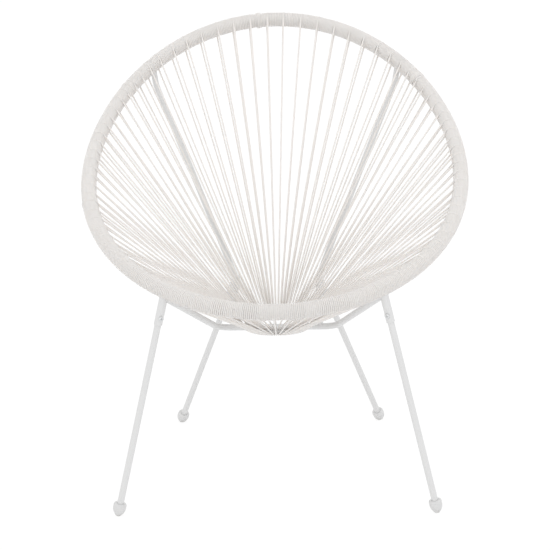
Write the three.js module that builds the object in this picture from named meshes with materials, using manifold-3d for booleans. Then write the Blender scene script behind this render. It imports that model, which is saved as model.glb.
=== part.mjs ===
// Acapulco lounge chair: a tilted steel hoop wrapped in round PVC cord, the cord laced down to a
// small steel ring that hangs at the bottom of the basket, and four screwed-in tube legs.
// Lengths are in millimetres and angles in radians. +Z is up, the sitter faces -Y and the floor is z = 0.
import * as THREE from 'three';
import { mergeVertices } from 'three/addons/utils/BufferGeometryUtils.js';
import Module from 'manifold-3d';

const wasm = await Module();
wasm.setup();

// Driving dimensions
const overallWidth = 730;
const rimTubeDiameter = 22.5;
const cordDiameter = 3;
const frameTubeDiameter = 12;
const legTubeDiameter = 12;
const legWall = 1.2;
const socketDiameter = 15;
const fitGap = 0.3;

// The hoop: an egg in a tilted plane, its back curling up out of that plane
const rimLength = 845;
const rimTilt = THREE.MathUtils.degToRad(25.8);
const rimCentreHeight = 584.3;
const rimLift = 29.3;
const rimCurl = 37.5;
const eggShare = 0.013;
const squareShare = 0.0495;

// The lacing: the welded sockets and struts part the hoop into a front, two sides and a back, and
// each stretch is shared out evenly in bays
const frontBays = 15;
const sideBays = 27;
const backBays = 16;
const baysPerRun = 5;
const socketPlace = 200;
const strutPlace = 283.5;
const wrapPitch = 3.1;
const wrapRelief = 0.7;

// The ring at the bottom of the basket
const ringDiameter = 116;
const ringTubeDiameter = 8;
const ringHeight = 290.5;
const ringSetForward = 65;
const frontLoops = 51;

// Where the feet stand
const frontFootHalfSpan = 289;
const frontFootForward = 309;
const rearFootHalfSpan = 210;
const rearFootBack = 252;

// The tubes under the seat
const crossTubeForward = 46;
const crossTubeHalfSpan = 112;
const crossTubeBendRadius = 34;
const crossTubeEndDrop = 12;
const frontSocketLength = 64;
const strutStandOff = 25;
const strutShoulder = 34;
const strutBendRadius = 30;
const elbowHalfSpan = 81;
const elbowStandOff = 44.4;
const elbowAboveRing = 59.5;
const strutFootHalfSpan = 82;
const rearSocketLength = 84;

// The joint of leg and socket
const legInsertion = 40;
const screwFromSocketEnd = 14;
const screwTurn = THREE.MathUtils.degToRad(28);
const screwDiameter = 5;
const screwHeadDiameter = 9;
const screwHeadHeight = 3;
const screwGrip = 7;

// The bud-shaped foot cap
const capDiameter = 23.6;
const capHeight = 26.5;
const capBellyHeight = 17;
const capShoulderHeight = 20.5;
const capBoreDepth = 13;
const capTipBelowFloor = 1.3;
const capMouthWall = 1.2;
const capTipPower = 1.7;

// How finely round things are faceted
const rimSides = 8;
const tubeSides = 8;
const cordSides = 5;
const legSides = 12;
const capSides = 10;
const screwSides = 8;
const ringSegments = 24;
const rimSegmentsPerRun = 3;
const rimLengthSteps = 1440;
const bendSteps = 4;
const loopSteps = 3;
const bellySteps = 4;
const shoulderSteps = 2;

// Worked out from the above
const rimTubeRadius = rimTubeDiameter / 2;
const cordRadius = cordDiameter / 2;
const wrapBore = rimTubeRadius + fitGap;
const wrapRadius = wrapBore + cordDiameter;
const wrapCordRadius = wrapBore + cordRadius;
const wrapValleyRadius = wrapRadius - wrapRelief;
const rimHalfWidth = (overallWidth / 2 - wrapRadius) / (1 - squareShare);
const ringRadius = ringDiameter / 2;
const ringTubeRadius = ringTubeDiameter / 2;
const loopRadius = (ringTubeRadius + fitGap + cordRadius) / Math.cos(Math.PI / (2 * loopSteps));
const frameTubeRadius = frameTubeDiameter / 2;
const legRadius = legTubeDiameter / 2;
const socketRadius = socketDiameter / 2;
const socketBore = legRadius + fitGap;
const crossTubeHeight = ringHeight - ringTubeRadius - fitGap - frameTubeRadius;
const bayCount = frontBays + 2 * sideBays + backBays;
const runCount = bayCount / baysPerRun;
const ringCentre = new THREE.Vector3(0, -ringSetForward, ringHeight);
const up = new THREE.Vector3(0, 0, 1);
const seatNormal = new THREE.Vector3(0, -Math.sin(rimTilt), Math.cos(rimTilt));

// Materials
const pvcCord = { color: 0xe9e6e1, roughness: 0.5, metalness: 0.0 };
const paintedSteel = { color: 0xdcdddd, roughness: 0.42, metalness: 0.1 };
const capPlastic = { color: 0xdadada, roughness: 0.55, metalness: 0.0 };
const platedScrew = { color: 0xc9cbcc, roughness: 0.35, metalness: 0.8 };

const chair = new THREE.Group();

function addPiece(name, geometry, look) {
  const bare = geometry.clone();
  bare.deleteAttribute('normal');
  bare.deleteAttribute('uv');
  const merged = mergeVertices(bare);
  merged.computeVertexNormals();
  const mesh = new THREE.Mesh(merged, new THREE.MeshStandardMaterial(look));
  mesh.name = name;
  chair.add(mesh);
}

// Solids for joining and cutting
function solidOf(geometry) {
  const bare = geometry.clone();
  bare.deleteAttribute('normal');
  bare.deleteAttribute('uv');
  const merged = mergeVertices(bare);
  return new wasm.Manifold(new wasm.Mesh({
    numProp: 3,
    vertProperties: new Float32Array(merged.attributes.position.array),
    triVerts: new Uint32Array(merged.index.array),
  }));
}

function geometryOf(solid) {
  const { vertProperties, triVerts } = solid.getMesh();
  const geometry = new THREE.BufferGeometry();
  geometry.setAttribute('position', new THREE.BufferAttribute(new Float32Array(vertProperties), 3));
  geometry.setIndex(new THREE.BufferAttribute(new Uint32Array(triVerts), 1));
  return geometry;
}

// A curve whose equal steps fall on its stations, so a tube gets rings only where it bends
const stationTolerance = 1e-9;
class StationCurve extends THREE.Curve {
  constructor(stations) {
    super();
    this.stations = stations;
  }

  getPoint(share, target = new THREE.Vector3()) {
    const last = this.stations.length - 1;
    const place = share * last;
    const index = Math.min(Math.floor(place + stationTolerance), last - 1);
    return target.lerpVectors(this.stations[index], this.stations[index + 1], place - index);
  }

  getPointAt(share, target) {
    return this.getPoint(share, target);
  }

  getTangent(share, target = new THREE.Vector3()) {
    const last = this.stations.length - 1;
    const index = Math.round(share * last);
    const here = this.stations[index];
    const before = this.stations[Math.max(index - 1, 0)];
    const after = this.stations[Math.min(index + 1, last)];
    const arriving = here.clone().sub(before).normalize();
    const leaving = after.clone().sub(here).normalize();
    return target.copy(arriving).add(leaving).normalize();
  }

  getTangentAt(share, target) {
    return this.getTangent(share, target);
  }
}

function tubeAlong(stations, radius, sides) {
  const section = new THREE.Shape();
  for (let side = 0; side < sides; side += 1) {
    const turn = (2 * Math.PI * side) / sides;
    section[side === 0 ? 'moveTo' : 'lineTo'](radius * Math.cos(turn), radius * Math.sin(turn));
  }
  return new THREE.ExtrudeGeometry(section, {
    steps: stations.length - 1,
    bevelEnabled: false,
    extrudePath: new StationCurve(stations),
  });
}

// A route through corner points, with each inner corner rounded to the bend radius
function bentRoute(corners, bendRadius) {
  const stations = [corners[0]];
  for (let i = 1; i < corners.length - 1; i += 1) {
    const back = corners[i - 1].clone().sub(corners[i]).normalize();
    const ahead = corners[i + 1].clone().sub(corners[i]).normalize();
    const halfTurn = (Math.PI - back.angleTo(ahead)) / 2;
    const setBack = bendRadius * Math.tan(halfTurn);
    const centre = back.clone().add(ahead).normalize()
      .multiplyScalar(bendRadius / Math.cos(halfTurn)).add(corners[i]);
    const start = corners[i].clone().addScaledVector(back, setBack).sub(centre);
    const axis = back.clone().cross(ahead).normalize().negate();
    for (let step = 0; step <= bendSteps; step += 1) {
      stations.push(start.clone().applyAxisAngle(axis, (2 * halfTurn * step) / bendSteps).add(centre));
    }
  }
  stations.push(corners[corners.length - 1]);
  return stations;
}

// A piece turned about its own Z axis is stood on a point with that axis along a direction
function standOn(geometry, foot, direction) {
  const turn = new THREE.Quaternion().setFromUnitVectors(up, direction.clone().normalize());
  return geometry.clone().applyQuaternion(turn).translate(foot.x, foot.y, foot.z);
}

// A profile of [radius, height] pairs revolved about Z
function turned(profile, sides) {
  const points = profile.map(([radius, height]) => new THREE.Vector2(radius, height));
  return new THREE.LatheGeometry(points, sides).rotateX(Math.PI / 2);
}

// The hoop's centreline: angle 0 is the front, a quarter turn is the sitter's left (+X)
class RimCurve extends THREE.Curve {
  getPoint(share, target = new THREE.Vector3()) {
    const angle = 2 * Math.PI * share;
    const cosine = Math.cos(angle);
    const across = rimHalfWidth * Math.sin(angle)
      * (1 + eggShare * cosine + squareShare * Math.cos(2 * angle));
    const along = (-rimLength / 2) * cosine;
    const lift = rimLift * cosine ** 2 - rimCurl * cosine ** 3;
    return target.set(
      across,
      along * Math.cos(rimTilt) - lift * Math.sin(rimTilt),
      rimCentreHeight + along * Math.sin(rimTilt) + lift * Math.cos(rimTilt),
    );
  }
}
const rim = new RimCurve();
rim.arcLengthDivisions = rimLengthSteps;

// Bays are counted from the middle of the front, up to half of them to each side. The distance
// along the hoop grows evenly with the count within each stretch
const socketBay = frontBays / 2;
const strutBay = socketBay + sideBays;

function fromFront(bay) {
  return bay - bayCount * Math.round(bay / bayCount);
}

function rimShareOfBay(bay) {
  const signed = fromFront(bay);
  const count = Math.abs(signed);
  const halfHoop = rim.getLength() / 2;
  let distance = (socketPlace * count) / socketBay;
  if (count > strutBay) {
    distance = halfHoop - (strutPlace * (bayCount / 2 - count)) / (backBays / 2);
  } else if (count > socketBay) {
    distance = socketPlace + ((halfHoop - strutPlace - socketPlace) * (count - socketBay)) / sideBays;
  }
  const share = (Math.sign(signed) * distance) / (2 * halfHoop);
  return share - Math.floor(share);
}

// Centre, tangent and two cross directions of the hoop at a bay number
function rimFrame(bay) {
  const share = rimShareOfBay(bay);
  const centre = rim.getPointAt(share);
  const tangent = rim.getTangentAt(share);
  const outward = tangent.clone().cross(seatNormal).normalize();
  const across = tangent.clone().cross(outward).normalize();
  return { centre, tangent, outward, across };
}

function ringOfPoints(frame, radius, sides) {
  const points = [];
  for (let side = 0; side < sides; side += 1) {
    const turn = (2 * Math.PI * side) / sides;
    points.push(frame.centre.clone()
      .addScaledVector(frame.outward, radius * Math.cos(turn))
      .addScaledVector(frame.across, radius * Math.sin(turn)));
  }
  return points;
}

// Rings of points, all with as many sides, joined by quads in pairs of triangles
function skinOf(loops, pairs) {
  const sides = loops[0].length;
  const positions = loops.flat().flatMap((point) => [point.x, point.y, point.z]);
  const index = [];
  for (const [first, second] of pairs) {
    for (let side = 0; side < sides; side += 1) {
      const next = (side + 1) % sides;
      const a = first * sides + side;
      const b = first * sides + next;
      const c = second * sides + next;
      const d = second * sides + side;
      index.push(a, b, c, a, c, d);
    }
  }
  const geometry = new THREE.BufferGeometry();
  geometry.setAttribute('position', new THREE.Float32BufferAttribute(positions, 3));
  geometry.setIndex(index);
  return geometry;
}

function closedHoop(frames, radius, sides) {
  const loops = frames.map((frame) => ringOfPoints(frame, radius, sides));
  return skinOf(loops, loops.map((_, i) => [i, (i + 1) % loops.length]));
}

function shifted(frame, distance) {
  return { ...frame, centre: frame.centre.clone().addScaledVector(frame.tangent, distance) };
}

// The wrapped turns of one cord run: a sleeve on the hoop, raised outside where each bay's strands
// pass over it and smooth in its bore. A run starts and ends half way between two bays
function wrapSleeve(firstBay) {
  const firstEnd = firstBay - 0.5;
  const lastEnd = firstEnd + baysPerRun;
  const start = shifted(rimFrame(firstEnd), fitGap / 2);
  const end = shifted(rimFrame(lastEnd), -fitGap / 2);
  const outer = [ringOfPoints(start, wrapValleyRadius, rimSides)];
  for (let bay = firstBay; bay < lastEnd; bay += 1) {
    if (bay > firstBay) outer.push(ringOfPoints(rimFrame(bay - 0.5), wrapValleyRadius, rimSides));
    outer.push(ringOfPoints(rimFrame(bay), wrapRadius, rimSides));
  }
  outer.push(ringOfPoints(end, wrapValleyRadius, rimSides));
  const inner = [ringOfPoints(end, wrapBore, rimSides)];
  for (let i = rimSegmentsPerRun - 1; i > 0; i -= 1) {
    inner.push(ringOfPoints(rimFrame(firstEnd + (baysPerRun * i) / rimSegmentsPerRun), wrapBore, rimSides));
  }
  inner.push(ringOfPoints(start, wrapBore, rimSides));
  const loops = [...outer, ...inner];
  return skinOf(loops, loops.map((_, i) => [i, (i + 1) % loops.length]));
}

// Angle round the seat ring, from the front, of each bay's loop. The loops of one run are pressed
// side by side, the next run's keep clear of them, and all part where the cross tube carries the ring
const crossingAngle = Math.PI - Math.acos((ringSetForward - crossTubeForward) / ringRadius);
const crossingHalfGap = (frameTubeRadius / Math.sin(crossingAngle) + cordRadius + 2 * fitGap
  + loopRadius / Math.abs(Math.tan(crossingAngle))) / ringRadius;
const clearStep = (cordDiameter + 2 * fitGap) / (ringRadius - loopRadius);

// Angle from the middle loop of a stretch, after so many steps, of which some are from run to run
function stretchAngle(steps, runEnds, lastSteps, lastRunEnds, reach) {
  const pressedStep = (reach - lastRunEnds * clearStep) / (lastSteps - lastRunEnds);
  return runEnds * clearStep + (steps - runEnds) * pressedStep;
}

function loopAngle(bay) {
  const frontMost = (frontLoops - 1) / 2;
  const count = Math.abs(fromFront(bay));
  const side = Math.sign(fromFront(bay));
  if (count <= frontMost) {
    const endsPassed = (steps) => Math.round(steps / baysPerRun);
    const reach = crossingAngle - crossingHalfGap;
    return side * stretchAngle(count, endsPassed(count), frontMost, endsPassed(frontMost), reach);
  }
  // The middle of the back is a run's end, so half a step from run to run lies on each side of it
  const endsPassed = (steps) => Math.floor(steps / baysPerRun) + 0.5;
  const rearMost = (bayCount - frontLoops - 1) / 2;
  const steps = bayCount / 2 - count;
  const reach = Math.PI - crossingAngle - crossingHalfGap;
  const fromBack = stretchAngle(steps, endsPassed(steps), rearMost, endsPassed(rearMost), reach);
  return side * (Math.PI - fromBack);
}

function ringPlace(bay) {
  const angle = loopAngle(bay);
  const outward = new THREE.Vector3(Math.sin(angle), -Math.cos(angle), 0);
  const tangent = new THREE.Vector3(Math.cos(angle), Math.sin(angle), 0);
  return { seat: ringCentre.clone().addScaledVector(outward, ringRadius), tangent };
}

// Points on a circle round a tube, from its seat side (turn 0) by the side that the strand leads
// away on (a quarter turn) to its underside (half a turn)
function roundTube(centre, tangent, strand, radius) {
  const over = tangent.clone().cross(strand).normalize();
  if (over.z < 0) over.negate();
  const ahead = over.clone().cross(tangent).normalize();
  if (ahead.dot(strand) < 0) ahead.negate();
  return (turn) => centre.clone()
    .addScaledVector(over, radius * Math.cos(turn))
    .addScaledVector(ahead, radius * Math.sin(turn));
}

// One length of cord: from the seat side of the wrapped hoop down to the ring, half round it,
// and back up to the far side of the hoop, half a turn of the wrap further on
function lacedCord(bay) {
  const { centre, tangent } = rimFrame(bay);
  const { seat, tangent: ringTangent } = ringPlace(bay);
  const strand = seat.clone().sub(centre);
  const lean = Math.asin((wrapCordRadius - loopRadius) / strand.length());
  const roundRing = roundTube(seat, ringTangent, strand, loopRadius);
  const quarterTurnOfWrap = tangent.clone().multiplyScalar(wrapPitch / 4);
  const roundRim = roundTube(centre, tangent, strand, wrapCordRadius);
  const stations = [roundRim(lean).sub(quarterTurnOfWrap)];
  for (let step = 0; step <= loopSteps; step += 1) {
    stations.push(roundRing(lean + ((Math.PI - 2 * lean) * step) / loopSteps));
  }
  stations.push(roundRim(Math.PI - lean).add(quarterTurnOfWrap));
  return tubeAlong(stations, cordRadius, cordSides);
}

// Mirror side is +1 for +X and -1 for -X
function mirrored(point, side) {
  return new THREE.Vector3(side * point.x, point.y, point.z);
}

// A back strut keeps behind the lacing: it stands off it at the shoulder and again at the elbow
const strutRim = rimFrame(strutBay);
const strutSeat = ringPlace(strutBay).seat;
const strutDown = strutSeat.clone().sub(strutRim.centre).normalize();
const strutOut = strutDown.clone().cross(strutRim.tangent).normalize();
if (strutOut.z > 0) strutOut.negate();
const shoulder = strutRim.centre.clone()
  .addScaledVector(strutOut, strutStandOff).addScaledVector(strutDown, strutShoulder);
const elbow = new THREE.Vector3(elbowHalfSpan, strutSeat.y, ringHeight + elbowAboveRing);
elbow.y += (elbowStandOff - strutOut.dot(elbow.clone().sub(strutSeat))) / strutOut.y;

// The leg sockets and legs. Facing is -1 where the screw looks forward and +1 where it looks back
const frontRim = rimFrame(socketBay).centre;
const frontFoot = new THREE.Vector3(frontFootHalfSpan, -frontFootForward, 0);
const rearFoot = new THREE.Vector3(rearFootHalfSpan, rearFootBack, 0);
const frontLegAxis = frontFoot.clone().sub(frontRim).normalize();
const rearLegAxis = rearFoot.clone().sub(elbow).normalize();
const legPlaces = [
  { name: 'front', from: frontRim, axis: frontLegAxis, reach: frontSocketLength, foot: frontFoot, facing: -1 },
  { name: 'rear', from: elbow, axis: rearLegAxis, reach: rearSocketLength, foot: rearFoot, facing: 1 },
];

function hollowTube(start, direction, length, outer, bore) {
  const profile = [[bore, 0], [outer, 0], [outer, length], [bore, length], [bore, 0]];
  return standOn(turned(profile, legSides), start, direction);
}

function solidRod(start, direction, length, radius, sides) {
  const profile = [[0, 0], [radius, 0], [radius, length], [0, length]];
  return standOn(turned(profile, sides), start, direction);
}

// The cross tube: from the underside of the hoop at one socket down under the seat, straight across
// under the ring, and up to the other
const crossEnd = frontRim.clone().addScaledVector(frontLegAxis, crossTubeEndDrop / -frontLegAxis.z);
const crossCorner = new THREE.Vector3(crossTubeHalfSpan, -crossTubeForward, crossTubeHeight);
const crossRoute = bentRoute([
  mirrored(crossEnd, -1), mirrored(crossCorner, -1), crossCorner, crossEnd,
], crossTubeBendRadius);

// A back strut: off the hoop between two bays, straight down behind the lacing to its elbow,
// then forward under the seat to the cross tube
const strutFoot = new THREE.Vector3(strutFootHalfSpan, -crossTubeForward, crossTubeHeight);
const strutRoute = bentRoute([strutRim.centre, shoulder, elbow, strutFoot], strutBendRadius);

// Pieces that others are cut to fit, each grown by the fit gap
function grownTube(route, radius, sides) {
  return solidOf(tubeAlong(route, radius + fitGap, sides));
}

function bothSides(route) {
  return [1, -1].map((side) => route.map((point) => mirrored(point, side)));
}

const rimFrames = [];
for (let i = 0; i < runCount * rimSegmentsPerRun; i += 1) {
  rimFrames.push(rimFrame(baysPerRun * (i / rimSegmentsPerRun - 0.5)));
}
const rimClearance = solidOf(closedHoop(rimFrames, rimTubeRadius + fitGap, rimSides));
const crossClearance = grownTube(crossRoute, frameTubeRadius, legSides);
const strutClearances = bothSides(strutRoute).map((route) => grownTube(route, frameTubeRadius, tubeSides));

function legLine(place, side) {
  return { from: mirrored(place.from, side), axis: mirrored(place.axis, side) };
}

const socketClearances = legPlaces.flatMap((place) => [1, -1].map((side) => {
  const { from, axis } = legLine(place, side);
  return solidOf(solidRod(from, axis, place.reach, socketRadius + fitGap, legSides));
}));

// The welded frame
addPiece('rim_hoop', closedHoop(rimFrames, rimTubeRadius, rimSides), paintedSteel);

const ringFrames = [];
for (let i = 0; i < ringSegments; i += 1) {
  const angle = (2 * Math.PI * i) / ringSegments;
  const outward = new THREE.Vector3(Math.sin(angle), -Math.cos(angle), 0);
  const tangent = new THREE.Vector3(Math.cos(angle), Math.sin(angle), 0);
  ringFrames.push({
    centre: ringCentre.clone().addScaledVector(outward, ringRadius),
    tangent,
    outward,
    across: tangent.clone().cross(outward),
  });
}
addPiece('seat_ring', closedHoop(ringFrames, ringTubeRadius, tubeSides), paintedSteel);

const crossTube = solidOf(tubeAlong(crossRoute, frameTubeRadius, tubeSides))
  .subtract(socketClearances[0]).subtract(socketClearances[1]).subtract(rimClearance);
addPiece('cross_tube', geometryOf(crossTube), paintedSteel);

['left', 'right'].forEach((hand, i) => {
  const strut = solidOf(tubeAlong(bothSides(strutRoute)[i], frameTubeRadius, tubeSides))
    .subtract(rimClearance).subtract(crossClearance);
  addPiece(`back_strut_${hand}`, geometryOf(strut), paintedSteel);
});

// Legs, sockets, screws and foot caps
const floorCut = solidOf(new THREE.BoxGeometry(overallWidth, overallWidth, capHeight)
  .translate(0, 0, -capHeight / 2));

function capProfile() {
  const belly = capDiameter / 2;
  const profile = [[0, 0]];
  for (let step = 1; step <= bellySteps; step += 1) {
    const height = capBellyHeight * (step / bellySteps) ** 2;
    const share = 1 - (1 - height / capBellyHeight) ** capTipPower;
    profile.push([belly * share ** (1 / capTipPower), height]);
  }
  profile.push([belly, capShoulderHeight]);
  const mouth = socketBore + capMouthWall;
  for (let step = 1; step <= shoulderSteps; step += 1) {
    const turn = (Math.PI / 2) * (step / shoulderSteps);
    profile.push([
      mouth + (belly - mouth) * Math.cos(turn),
      capShoulderHeight + (capHeight - capShoulderHeight) * Math.sin(turn),
    ]);
  }
  profile.push([socketBore, capHeight]);
  profile.push([socketBore, capHeight - capBoreDepth]);
  profile.push([0, capHeight - capBoreDepth]);
  return profile;
}

function screwProfile() {
  const head = screwHeadDiameter / 2;
  const shank = screwDiameter / 2;
  return [
    [0, -screwGrip], [shank, -screwGrip], [shank, 0], [head, 0],
    [head, screwHeadHeight / 2], [head / 2, screwHeadHeight], [0, screwHeadHeight],
  ];
}

legPlaces.forEach((place, row) => {
  [1, -1].forEach((side, i) => {
    const hand = ['left', 'right'][i];
    const { from, axis } = legLine(place, side);
    const foot = mirrored(place.foot, side);
    const screwOut = new THREE.Vector3(-side * Math.sin(screwTurn), place.facing * Math.cos(screwTurn), 0)
      .cross(axis).cross(axis).negate().normalize();
    const screwSeat = from.clone().addScaledVector(axis, place.reach - screwFromSocketEnd);
    const holeRadius = screwDiameter / 2 + fitGap;
    const screwHole = solidOf(solidRod(screwSeat, screwOut, socketDiameter, holeRadius, screwSides));

    let socket = solidOf(hollowTube(from, axis, place.reach, socketRadius, socketBore)).subtract(screwHole);
    socket = row === 0 ? socket.subtract(rimClearance) : socket.subtract(strutClearances[i]);
    addPiece(`${place.name}_leg_socket_${hand}`, geometryOf(socket), paintedSteel);

    const tip = foot.clone().addScaledVector(axis, capTipBelowFloor);
    const legStart = from.clone().addScaledVector(axis, place.reach - legInsertion);
    const legEnd = tip.clone().addScaledVector(axis, -(capHeight - capBoreDepth + fitGap));
    const legLength = legEnd.distanceTo(legStart);
    const leg = solidOf(hollowTube(legStart, axis, legLength, legRadius, legRadius - legWall))
      .subtract(screwHole);
    addPiece(`${place.name}_leg_${hand}`, geometryOf(leg), paintedSteel);

    const screw = standOn(turned(screwProfile(), screwSides), screwSeat.clone()
      .addScaledVector(screwOut, socketRadius + fitGap), screwOut);
    addPiece(`${place.name}_leg_screw_${hand}`, screw, platedScrew);

    const cap = solidOf(standOn(turned(capProfile(), capSides), tip, axis.clone().negate()))
      .subtract(floorCut);
    addPiece(`${place.name}_foot_cap_${hand}`, geometryOf(cap), capPlastic);
  });
});

// The cord, in runs of a few bays: the first run straddles the middle of the front. The wrap is
// parted where the sockets, the struts and the cross tube are welded to the hoop
const weldClearances = [
  ...strutClearances, crossClearance, socketClearances[0], socketClearances[1], rimClearance,
];
for (let run = 0; run < runCount; run += 1) {
  const firstBay = run * baysPerRun - (baysPerRun - 1) / 2;
  let cord = solidOf(wrapSleeve(firstBay));
  for (let bay = firstBay; bay < firstBay + baysPerRun; bay += 1) {
    cord = cord.add(solidOf(lacedCord(bay)));
  }
  for (const clearance of weldClearances) cord = cord.subtract(clearance);
  addPiece(`cord_run_${String(run + 1).padStart(2, '0')}`, geometryOf(cord), pvcCord);
}

// The origin is on the floor under the middle of the chair's outline
const outline = new THREE.Box3().setFromObject(chair);
chair.position.y = -(outline.min.y + outline.max.y) / 2;

export default chair;
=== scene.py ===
import math

import bpy
import numpy as np
from mathutils import Matrix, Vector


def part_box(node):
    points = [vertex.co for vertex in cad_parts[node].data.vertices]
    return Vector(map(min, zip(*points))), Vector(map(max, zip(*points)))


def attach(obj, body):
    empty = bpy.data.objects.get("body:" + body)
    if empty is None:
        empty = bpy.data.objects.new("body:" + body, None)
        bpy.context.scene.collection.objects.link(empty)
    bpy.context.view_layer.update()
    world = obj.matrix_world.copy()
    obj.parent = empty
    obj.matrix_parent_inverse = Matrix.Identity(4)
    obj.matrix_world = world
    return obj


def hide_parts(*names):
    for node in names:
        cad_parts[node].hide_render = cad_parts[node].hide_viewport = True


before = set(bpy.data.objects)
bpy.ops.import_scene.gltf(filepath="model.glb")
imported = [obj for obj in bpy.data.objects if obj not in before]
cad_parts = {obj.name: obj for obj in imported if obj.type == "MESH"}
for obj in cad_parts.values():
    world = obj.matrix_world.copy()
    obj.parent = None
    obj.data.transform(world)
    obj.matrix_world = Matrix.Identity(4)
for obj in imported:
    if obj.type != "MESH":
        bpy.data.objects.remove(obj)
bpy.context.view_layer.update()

# Acapulco lounge chair. Lengths are in metres and angles in radians. The sitter faces -Y.
# Round things are named by their radius: HOOP_TUBE, CORD, RING_TUBE, TUBE, SOCKET and the like.

# The tilted hoop
HOOP_WIDTH = 0.730
HOOP_LENGTH = 0.845
HOOP_TILT = math.radians(25.8)
HOOP_HEIGHT = 0.5843
HOOP_LIFT = 0.0293
HOOP_CURL = 0.0375
EGG = 0.013
SQUARE = 0.0495
HOOP_TUBE = 0.01125
HOOP_SAMPLES = 2881

# The cord, and the wrap that it makes on the hoop, out to the cord's middle
CORD = 0.0015
FIT = 0.0003
WRAP = HOOP_TUBE + FIT + CORD
WRAP_PITCH = 0.0031
TIGHTEST_PITCH = 0.00305
HALF_WIDTH = (HOOP_WIDTH / 2 - WRAP - CORD) / (1 - SQUARE)

# Wound cord is pressed squarer than a circle, by so much more than a circle's power of 2, and wider
CORD_FLAT = 1.6
CORD_SPREAD = 1.045

# A bay's last turn rides up on the others: how high, from which angle before its end, over which
# angle. Beside the strands the turns fan out by a share of the pitch
TURN_RIDE = 0.0007
RIDE_FROM = 0.6 * math.pi
RIDE_OVER = 0.35 * math.pi
FAN_IN = 0.45

# The lacing and the small ring it runs to. The welded sockets and struts part the hoop into a
# front, two sides and a back, and each stretch is shared out evenly in bays
FRONT_BAYS = 15
SIDE_BAYS = 27
BACK_BAYS = 16
BAYS = FRONT_BAYS + 2 * SIDE_BAYS + BACK_BAYS
RUN = 5
SOCKET_PLACE = 0.200
STRUT_PLACE = 0.2835
RING = 0.058
RING_TUBE = 0.004
RING_HEIGHT = 0.2905
RING_FORWARD = 0.065
FRONT_LOOPS = 51
LOOP = RING_TUBE + FIT + CORD
STRAND_POINTS = 7

# Where two lengths of cord meet in the wrap: bay number, rise over the joint and dip beside it. A
# dip's place and how fast it fades are in half widths of the joint
JOINTS = ((43.49, 0.0018, 0.0008), (32.3, 0.0012, 0.0002), (66.76, 0.0010, 0.0001),
          (53.33, 0.0010, 0.0001))
JOINT_HALF_WIDTH = 0.0045
DIP_PLACE = 1.5
DIP_FADE = 0.4

# How far the bays stray from even spacing along the hoop, as they do when wound by hand
STRAY_SPREAD = 0.0011
STRAY_LIMIT = 0.0022
stray_draws = np.random.default_rng(11)
STRAY = np.clip(stray_draws.normal(0, STRAY_SPREAD, BAYS + 1), -STRAY_LIMIT, STRAY_LIMIT)
STRAY[-1] = STRAY[0]

# The tubes under the seat
TUBE = 0.006
CROSS_FORWARD = 0.046
CROSS_SPAN = 0.112
CROSS_BEND = 0.034
CROSS_DROP = 0.012
STRUT_BAY = FRONT_BAYS / 2 + SIDE_BAYS
STRUT_OFF = 0.025
STRUT_SHOULDER = 0.034
STRUT_BEND = 0.030
ELBOW_SPAN = 0.081
ELBOW_OFF = 0.0444
ELBOW_RISE = 0.0595
STRUT_FOOT_SPAN = 0.082

# The leg sockets and the legs. A socket's wall starts inside what it is welded to
FRONT_SOCKET_BAY = FRONT_BAYS / 2
SOCKET = 0.0075
SOCKET_BORE = TUBE + FIT
SOCKET_BORE_DEPTH = 0.030
SOCKET_LIP = 0.0006
FRONT_SOCKET_START = 0.008
FRONT_SOCKET_LENGTH = 0.064
REAR_SOCKET_START = 0.001
REAR_SOCKET_LENGTH = 0.084
FRONT_FOOT = (0.289, -0.309)
REAR_FOOT = (0.210, 0.252)
LEG_INSERTION = 0.040

# The leg screws: a pan head with a cross recess. The last shares of the head's radius draw the
# recess's floor
SCREW_FROM_END = 0.014
SCREW_TURN = math.radians(28)
SCREW_HEAD = 0.0045
SCREW_HEAD_HEIGHT = 0.003
SCREW_SHANK = 0.0025
SCREW_SHANK_LENGTH = 0.007
SCREW_EDGE_HEIGHT = 0.0002
UNDERSIDE_SHARE = 0.98
EDGE_SHARE = 0.35
FLOOR_SHARES = (0.24, 0.18, 0.12, 0.05)
RECESS_HALF_WIDTH = 0.0006
RECESS_HALF_LENGTH = 0.0026
RECESS_DEPTH = 0.0014

# The foot caps. The powers make the belly full and its tip pointed
CAP_HEIGHT = 0.0265
CAP_RADIUS = 0.0118
CAP_BELLY = 0.017
CAP_SHOULDER = 0.0205
CAP_TIP_DROP = 0.0013
CAP_MOUTH = TUBE + 0.0013
CAP_BORE = TUBE + 0.0001
CAP_BORE_DEPTH = 0.013
CAP_LIP = 0.0003
TIP_SHARE = 0.05
BELLY_POWER = 1.7
TIP_POWER = 1.45

# The weld beads: how far their middle stands off both surfaces, their ripples, and how far back the
# lines start that look for the main tube
WELD = 0.0013
WELD_OFF = 0.2 * WELD
WELD_RIPPLES = 18
WELD_RIPPLE_SHARE = 0.12
WELD_APPROACH = 0.05
WELD_POINTS = 72

# How many sides each kind of round surface has
CORD_SIDES = 12
RING_SIDES = 20
TUBE_SIDES = 24
TURNED_SIDES = 32
CAP_SIDES = 40
SCREW_SIDES = 64
WELD_SIDES = 10

# The part stands with its outline's middle over the origin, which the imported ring's place tells
ring_low, ring_high = (np.array(corner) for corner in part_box("seat_ring"))
SHIFT = np.array([0.0, (ring_low[1] + ring_high[1]) / 2 + RING_FORWARD, 0.0])
RING_CENTRE = np.array([0.0, -RING_FORWARD, RING_HEIGHT]) + SHIFT
CROSS_HEIGHT = RING_HEIGHT - RING_TUBE - FIT - TUBE


def unit(vectors):
    """Each vector divided by its own length."""
    vectors = np.asarray(vectors, float)
    return vectors / np.linalg.norm(vectors, axis=-1, keepdims=True)


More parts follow.
